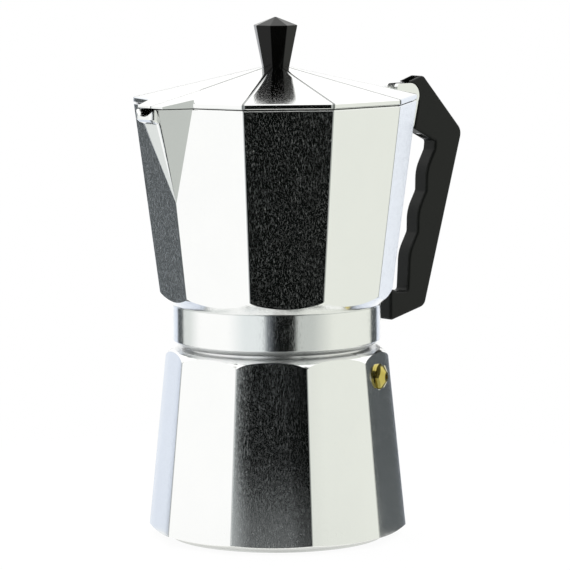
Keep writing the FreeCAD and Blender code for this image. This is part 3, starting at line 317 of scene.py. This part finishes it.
def make_world():
    """An even white for the eye and for soft light, and the tent with its boards for gloss."""
    world = bpy.data.worlds.new("studio")
    world.use_nodes = True
    bpy.context.scene.world = world
    world.cycles.sampling_method = "NONE"
    tree = Tree(world.node_tree)
    direction = tree.node("ShaderNodeTexCoord").outputs["Generated"]
    x, y, z = tree.split(direction)
    turn = math.radians(TENT_TURN)
    front = tree.facing(x, y, turn)
    side = tree.minus(tree.times(y, math.cos(turn)), tree.times(x, math.sin(turn)))
    tent = tree.mix_colour(tree.rise(z, *ROOF_START), tent_wall(tree, front, side), OVERHEAD)
    gap_colour = tree.mix_colour(tree.rise(z, *UPPER_START), CAMERA_GAP, UPPER_GAP)
    tent = tree.mix_colour(camera_gap(tree, front, side, z), tent, gap_colour)
    colour = tree.mix_colour(tree.rays()["Is Glossy Ray"], WHITE, tent)
    background = tree.node("ShaderNodeBackground", {"Color": colour, "Strength": 1.0})
    tree.show(background.outputs[0], "ShaderNodeOutputWorld")


FLOOR_RADIUS = 0.33
FLOOR_FADE = 0.23
FLOOR_STEPS = 96
FLOOR_DROP = 0.0002
# what the table gives to soft light, back to the eye, and to metal close to the base; farther out
# metal sees the tent through it
PAPER = (0.86, 0.86, 0.85)
FLOOR_GLOW = 0.90
FLOOR_SHADE = (0.12, 0.12, 0.12)
NEAR_COLOUR = (0.98, 0.98, 0.94)
NEAR_GLOW = 1.0
NEAR_REACH, FAR_REACH = 0.065, 0.082
MIRRORED_SHADE = (0.10, 0.10, 0.10)


def floor_white():
    """White whose rim fades into the white around it."""
    material, tree = new_tree("floor_white")
    x, y, _ = tree.split(tree.object_point())
    reach = tree.length(x, y)
    rays = tree.rays()
    seen = tree.highest(rays["Is Camera Ray"], rays["Is Transmission Ray"])
    clear = tree.node("ShaderNodeBsdfTransparent").outputs[0]
    shown = tree.add_shaders(tree.diffuse(FLOOR_SHADE), tree.glow(WHITE, FLOOR_GLOW))
    near = tree.add_shaders(tree.diffuse(MIRRORED_SHADE), tree.glow(NEAR_COLOUR, NEAR_GLOW))
    mirrored = tree.mix_shaders(tree.rise(reach, NEAR_REACH, FAR_REACH), near, clear)
    surface = tree.mix_shaders(seen, tree.diffuse(PAPER), shown)
    surface = tree.mix_shaders(rays["Is Glossy Ray"], surface, mirrored)
    tree.show(tree.mix_shaders(tree.rise(reach, FLOOR_FADE, FLOOR_RADIUS), surface, clear))
    return material


def make_floor():
    """White round table top."""
    ring = []
    for step in range(FLOOR_STEPS):
        angle = 2 * math.pi * step / FLOOR_STEPS
        ring.append((FLOOR_RADIUS * math.cos(angle), FLOOR_RADIUS * math.sin(angle), 0))
    mesh = bpy.data.meshes.new("floor")
    mesh.from_pydata(ring, [], [list(range(FLOOR_STEPS))])
    mesh.materials.append(floor_white())
    floor = bpy.data.objects.new("floor", mesh)
    floor.location.z = -FLOOR_DROP
    bpy.context.scene.collection.objects.link(floor)


# ---------------------------------------------------------------------------------------------
# Aluminium of the boiler, the chamber and the lid
# ---------------------------------------------------------------------------------------------
FACET = math.radians(36)
HALF_COSINE = math.cos(FACET / 2)
# each wall: turn of its corners in degrees, (corner radius, height) at its foot and rim, and its
# thickness; the radius and heights of the round bore that takes the wall's place there; how far
# the lid's roof rises; the heights without edges between facets, and those with a turned face; the
# reach and tilt of the rounding at those edges; how dark and wide the painted dark line along them
# is, a painted reflection of dark surroundings on the rounded edges; the least and most roughness
# of the facets, and what their specks add
BOILER_WALL = {
    "turn": -8.0, "foot": (0.0622, 0.0046), "rim": (0.0538, 0.0874), "thickness": 0.003,
    "bore": 0.042, "bore_heights": (0.088, 0.2), "round": (0.0875, 0.2), "turned": (0.0907, 0.2),
    "pillow": (0.009, 0.060), "edge_shade": 0.5, "edge_width": 0.0005,
    "roughness": (0.085, 0.125), "specks": 0.10,
}
CHAMBER_WALL = {
    "turn": 0.0, "foot": (0.0562, 0.118), "rim": (0.0681, 0.2094), "thickness": 0.0028,
    "bore": 0.0465, "bore_heights": (0.0, 0.1165), "round": (0.0, 0.1189), "turned": (0.0, 0.0952),
    "edge_shade": 0.5, "edge_width": 0.0005, "roughness": (0.085, 0.125), "specks": 0.153,
}
LID_WALL = {
    "turn": 0.0, "foot": (0.0683, 0.2099), "rim": (0.0683, 0.2124), "thickness": 0.0014,
    "roof_rise": 0.0153, "pillow": (0.0016, 0.35), "edge_shade": 1.0, "edge_width": 0.0009,
    "roughness": (0.07, 0.10), "specks": 0.10,
}
# the range that a noise mostly keeps to
GRAIN = (0.3, 0.7)
# the short way over which one zone's look turns into the next
DEPTH_BLEND = 0.0002
HEIGHT_BLEND = 0.0001
# the spout's nose, where no painted dark line is drawn along the edges between facets
NOSE_SIDE = (0.002, 0.003)
NOSE_FRONT = (-0.047, -0.046)
# the painted dark line along the edges between facets, a painted reflection of dark surroundings on
# the rounded edges: where it starts to fade, and its colour
EDGE_START = 0.3
EDGE_COLOUR = (0.24, 0.25, 0.25)
# dulling near the base, most on the side that faces this direction
BASE_WEAR = 0.13
WEAR_HEIGHT = 0.055
WEAR_SIDE = math.radians(-134)
WEAR_FACING = (0.02, 0.05)
WEAR_ELSEWHERE = 0.25
WORN_SPECKS = 0.6
STREAK = {"scale": 2300, "detail": 4, "roughness": 0.75}
STREAK_STRETCH = (1, 1, 0.13)
STREAK_RANGE = (0.35, 0.65)
STREAK_RELIEF = 0.25
FLECK = {"scale": 1700, "detail": 2, "roughness": 0.6}
FLECK_STRETCH = (1, 1, 0.35)
FLECK_RANGE = (0.45, 0.70)
SAND = {"scale": 900, "detail": 3, "roughness": 0.7}
CLOUD = {"scale": 55, "detail": 3}
CLEAN_COLOURS = (0.885, 0.892, 0.890), (0.915, 0.920, 0.915)
CAST_COLOURS = (0.60, 0.61, 0.61), (0.74, 0.75, 0.75)
CAST_ROUGHNESS = (0.34, 0.46)
TURNED_COLOUR = (0.90, 0.905, 0.905)
TURNED_ROUGHNESS = (0.26, 0.36)
RELIEF = 0.35
RELIEF_DEPTH = 0.00006


def facet_distances(tree, x, y, turn):
    """Distance out to the facet's plane, and along the facet to the nearest edge between facets."""
    reach = tree.length(x, y)
    angle = tree.minus(tree.math("ARCTAN2", y, x), math.radians(turn))
    from_edge = tree.math("PINGPONG", angle, FACET / 2)
    from_middle = tree.minus(FACET / 2, from_edge)
    out = tree.times(reach, tree.math("COSINE", from_middle))
    along = tree.times(reach, tree.math("SINE", from_edge))
    return out, along


def within(tree, value, limit):
    """1 where a value is below a limit, with a short blend."""
    return tree.mapped(tree.minus(limit, value), 0, DEPTH_BLEND, 0, 1)


def band(tree, z, low, high):
    """1 between two heights, with a short blend."""
    above = tree.mapped(z, low - HEIGHT_BLEND, low, 0, 1)
    below = tree.mapped(z, high, high + HEIGHT_BLEND, 1, 0)
    return tree.times(above, below)


def behind_wall(tree, out, z, wall):
    """1 on the inner side of a faceted wall."""
    (foot_radius, foot), (rim_radius, rim) = wall["foot"], wall["rim"]
    half = wall["thickness"] / 2
    foot_out = foot_radius * HALF_COSINE - half
    rim_out = rim_radius * HALF_COSINE - half
    return within(tree, out, tree.mapped(z, foot, rim, foot_out, rim_out))


def inner_side(tree, reach, out, z, wall):
    """1 on the surfaces that stay as cast: the inner side of the wall and the bore beside it."""
    facets = behind_wall(tree, out, z, wall)
    if "roof_rise" in wall:
        radius, height = wall["rim"]
        slope = wall["roof_rise"] / (radius * HALF_COSINE)
        rise = tree.times(tree.minus(radius * HALF_COSINE, out), slope)
        roof = tree.plus(rise, height - wall["thickness"] / 2)
        return tree.times(facets, within(tree, z, roof))
    bore = within(tree, reach, wall["bore"])
    return tree.mix(band(tree, z, *wall["bore_heights"]), facets, bore)


def painted_edge_lines(tree, x, y, z, along, wall):
    """How far the painted dark line along the edges between facets covers them: a painted
    reflection of dark surroundings on the rounded edges.
    """
    width = wall["edge_width"]
    near_edge = tree.fall(along, EDGE_START * width, width)
    aside = tree.mapped(tree.math("ABSOLUTE", y), *NOSE_SIDE, 0, 1)
    off_nose = tree.highest(aside, tree.mapped(x, *NOSE_FRONT, 0, 1))
    share = tree.times(near_edge, off_nose, wall["edge_shade"])
    if "round" in wall:
        share = tree.times(share, tree.minus(1, band(tree, z, *wall["round"])))
    return share


def base_wear(tree, x, y, z):
    """How far the metal is dulled near the base."""
    low_down = tree.fall(z, 0.0, WEAR_HEIGHT)
    facing = tree.facing(x, y, WEAR_SIDE)
    return tree.times(low_down, tree.mapped(facing, *WEAR_FACING, WEAR_ELSEWHERE, 1, smooth=True))


def rounding(tree, along, outside, reach, tilt, normal):
    """Normal that leans out by up to the tilt towards the edges between facets."""
    inward = tree.highest(tree.minus(reach, along), 0.0)
    drop = tree.times(inward, inward, outside, -tilt / (2 * reach))
    return tree.bump(drop, 1.0, 1.0, normal)


def polished_aluminium(name, wall):
    """Polished facets with upright buffing marks and a painted dark line along the edges between
    facets (painted reflection), as cast on the inner side.
    """
    material, tree, shader = new_look(name, Metallic=1.0)
    point = tree.object_point()
    x, y, z = tree.split(point)
    out, along = facet_distances(tree, x, y, wall["turn"])
    inside = inner_side(tree, tree.length(x, y), out, z, wall)
    outside = tree.minus(1, inside)
    edge = tree.times(painted_edge_lines(tree, x, y, z, along, wall), outside)
    worn = base_wear(tree, x, y, z)
    streak = tree.noise(tree.stretched(point, STREAK_STRETCH), **STREAK)
    fleck = tree.noise(tree.stretched(point, FLECK_STRETCH), **FLECK)
    sand = tree.noise(point, **SAND)
    clean = tree.mix_colour(tree.noise(point, **CLOUD), *CLEAN_COLOURS)
    # painted reflection: a dark line along the edges between facets
    colour = tree.mix_colour(edge, clean, EDGE_COLOUR)
    colour = tree.mix_colour(inside, colour, tree.mix_colour(sand, *CAST_COLOURS))
    specks = tree.mapped(fleck, *FLECK_RANGE, 0, wall["specks"])
    specks = tree.times(specks, tree.minus(1, tree.times(worn, WORN_SPECKS)))
    rough = tree.mapped(streak, *STREAK_RANGE, *wall["roughness"])
    rough = tree.plus(tree.plus(rough, tree.times(worn, BASE_WEAR)), specks)
    rough = tree.mix(inside, rough, tree.mapped(sand, *GRAIN, *CAST_ROUGHNESS))
    if "turned" in wall:
        turned = band(tree, z, *wall["turned"])
        colour = tree.mix_colour(turned, colour, TURNED_COLOUR)
        rough = tree.mix(turned, rough, tree.mapped(sand, *GRAIN, *TURNED_ROUGHNESS))
    height = tree.mix(inside, tree.times(streak, STREAK_RELIEF), sand)
    normal = tree.bump(height, RELIEF, RELIEF_DEPTH)
    if "pillow" in wall:
        normal = rounding(tree, along, outside, *wall["pillow"], normal)
    tree.feed(shader.inputs["Base Color"], colour)
    tree.feed(shader.inputs["Roughness"], rough)
    tree.feed(shader.inputs["Normal"], normal)
    return material


# ---------------------------------------------------------------------------------------------
# Plastic, turned metal and rubber
# ---------------------------------------------------------------------------------------------
PLASTIC_CLOUD = {"scale": 45, "detail": 3}
PEBBLE_DEPTH = 0.00006
METAL_CLOUD = {"scale": 180, "detail": 3}
METAL_GRAIN = {"scale": 2400, "detail": 2, "roughness": 0.6}
METAL_RELIEF = 0.25
METAL_GRAIN_HEIGHT = 0.4
METAL_DEPTH = 0.00004
RUBBER_CLOUD = {"scale": 90, "detail": 4}
RUBBER_COLOURS = (0.80, 0.78, 0.72), (0.88, 0.87, 0.83)
RUBBER_GRAIN = {"scale": 1800, "detail": 2}
RUBBER_ROUGHNESS = (0.55, 0.75)
RUBBER_RELIEF = 0.3
RUBBER_DEPTH = 0.00005


def plastic(name, colours, roughness, pebble, pebble_size, level):
    """Moulded black plastic with a fine pebble and slightly uneven gloss."""
    material, tree, shader = new_look(name, **{"Specular IOR Level": level})
    point = tree.object_point()
    cloud = tree.noise(point, **PLASTIC_CLOUD)
    tree.feed(shader.inputs["Base Color"], tree.mix_colour(cloud, *colours))
    grain = tree.noise(point, 1 / pebble_size, detail=2, roughness=0.6)
    tree.feed(shader.inputs["Roughness"], tree.mapped(grain, *GRAIN, *roughness))
    tree.feed(shader.inputs["Normal"], tree.bump(grain, pebble, PEBBLE_DEPTH))
    return material


def metal(name, colours, roughness, ring_pitch=0.0, ring_strength=0.0):
    """Turned or drawn metal: cloudy tone, fine rings about the vertical axis where asked."""
    material, tree, shader = new_look(name, Metallic=1.0)
    point = tree.object_point()
    cloud = tree.noise(point, **METAL_CLOUD)
    tree.feed(shader.inputs["Base Color"], tree.mix_colour(cloud, *colours))
    grain = tree.noise(point, **METAL_GRAIN)
    tree.feed(shader.inputs["Roughness"], tree.mapped(grain, *GRAIN, *roughness))
    height = tree.mapped(grain, *GRAIN, 0, METAL_GRAIN_HEIGHT)
    if ring_pitch:
        x, y, _ = tree.split(point)
        wave = tree.math("SINE", tree.times(tree.length(x, y), 2 * math.pi / ring_pitch))
        height = tree.plus(height, tree.times(wave, ring_strength))
    tree.feed(shader.inputs["Normal"], tree.bump(height, METAL_RELIEF, METAL_DEPTH))
    return material


def rubber(name):
    """Pale moulded seal, matt, with slight staining."""
    material, tree, shader = new_look(name)
    point = tree.object_point()
    cloud = tree.noise(point, **RUBBER_CLOUD)
    tree.feed(shader.inputs["Base Color"], tree.mix_colour(cloud, *RUBBER_COLOURS))
    grain = tree.noise(point, **RUBBER_GRAIN)
    tree.feed(shader.inputs["Roughness"], tree.mapped(grain, *GRAIN, *RUBBER_ROUGHNESS))
    tree.feed(shader.inputs["Normal"], tree.bump(grain, RUBBER_RELIEF, RUBBER_DEPTH))
    return material


# ---------------------------------------------------------------------------------------------
# Safety valve: its level axis, and its spring between the plunger's head and the valve's front
# ---------------------------------------------------------------------------------------------
VALVE_TURN = math.radians(-62)
VALVE_HEIGHT = 0.079
SPRING_BACK, SPRING_FRONT = 0.0474, 0.0542
SPRING_RADIUS, WIRE_RADIUS = 0.00173, 0.00022
SPRING_COILS = 7
COIL_STEPS = 24
WIRE_SIDES = 8


def make_spring(steel):
    """Valve spring in the place of the CAD coil."""
    ahead = Vector((math.cos(VALVE_TURN), math.sin(VALVE_TURN), 0))
    aside = Vector((-ahead.y, ahead.x, 0))
    up = Vector((0, 0, 1))
    axis_foot = up * VALVE_HEIGHT
    length = SPRING_FRONT - SPRING_BACK - 2 * WIRE_RADIUS
    steps = SPRING_COILS * COIL_STEPS
    points, faces = [], []
    for step in range(steps + 1):
        angle = 2 * math.pi * step / COIL_STEPS
        outward = aside * math.cos(angle) + up * math.sin(angle)
        along = SPRING_BACK + WIRE_RADIUS + length * step / steps
        middle = axis_foot + ahead * along + outward * SPRING_RADIUS
        for side in range(WIRE_SIDES):
            turn = 2 * math.pi * side / WIRE_SIDES
            around = outward * math.cos(turn) + ahead * math.sin(turn)
            points.append(middle + around * WIRE_RADIUS)
    for step in range(steps):
        first, second = step * WIRE_SIDES, (step + 1) * WIRE_SIDES
        for side in range(WIRE_SIDES):
            following = (side + 1) % WIRE_SIDES
            faces.append([first + side, second + side, second + following, first + following])
    faces.append(list(range(WIRE_SIDES)))
    faces.append([steps * WIRE_SIDES + side for side in reversed(range(WIRE_SIDES))])
    mesh = bpy.data.meshes.new("valve_coil")
    mesh.from_pydata(points, [], faces)
    mesh.materials.append(steel)
    spring = bpy.data.objects.new("valve_coil", mesh)
    bpy.context.scene.collection.objects.link(spring)
    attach(spring, "boiler")
    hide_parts("valve_spring")
    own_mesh(spring)


# ---------------------------------------------------------------------------------------------
# The pot
# ---------------------------------------------------------------------------------------------
BRASS_NODES = ("valve_body", "valve_plunger", "knob_insert")
STEEL_NODES = (
    "valve_seat", "valve_spring", "hinge_pin", "handle_screw", "handle_washer", "knob_screw",
    "knob_washer",
)
SATIN_NODES = ("funnel", "funnel_screen", "filter_plate", "riser_column", "column_cap")


def dress(material, *node_names):
    """Give every material slot of these CAD nodes this look."""
    for node_name in node_names:
        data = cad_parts[node_name].data
        if not data.materials:
            data.materials.append(material)
        for slot in range(len(data.materials)):
            data.materials[slot] = material


def dress_pot():
    """Give every node its look."""
    dress(polished_aluminium("boiler_aluminium", BOILER_WALL), "boiler")
    dress(polished_aluminium("chamber_aluminium", CHAMBER_WALL), "chamber")
    dress(polished_aluminium("lid_aluminium", LID_WALL), "lid")
    handle_black = (0.0006, 0.0014, 0.0008), (0.0016, 0.0026, 0.0018)
    dress(plastic("handle_plastic", handle_black, (0.36, 0.50), 0.25, 0.0006, 0.25), "handle")
    knob_black = (0.0008, 0.0008, 0.0006), (0.0018, 0.0018, 0.0015)
    dress(plastic("knob_plastic", knob_black, (0.09, 0.15), 0.05, 0.0008, 0.21), "knob")
    brass_tones = (0.54, 0.44, 0.10), (0.66, 0.55, 0.17)
    dress(metal("brass", brass_tones, (0.12, 0.20)), *BRASS_NODES)
    steel_tones = (0.58, 0.58, 0.59), (0.66, 0.66, 0.67)
    steel = metal("steel", steel_tones, (0.18, 0.30))
    dress(steel, *STEEL_NODES)
    make_spring(steel)
    satin_tones = (0.80, 0.81, 0.81), (0.88, 0.88, 0.88)
    satin_rings = {"ring_pitch": 0.0012, "ring_strength": 0.3}
    dress(metal("satin_aluminium", satin_tones, (0.26, 0.38), **satin_rings), *SATIN_NODES)
    dress(rubber("gasket_rubber"), "gasket")


make_camera()
make_world()
make_floor()
dress_pot()
bpy.context.scene.view_settings.view_transform = "Standard"
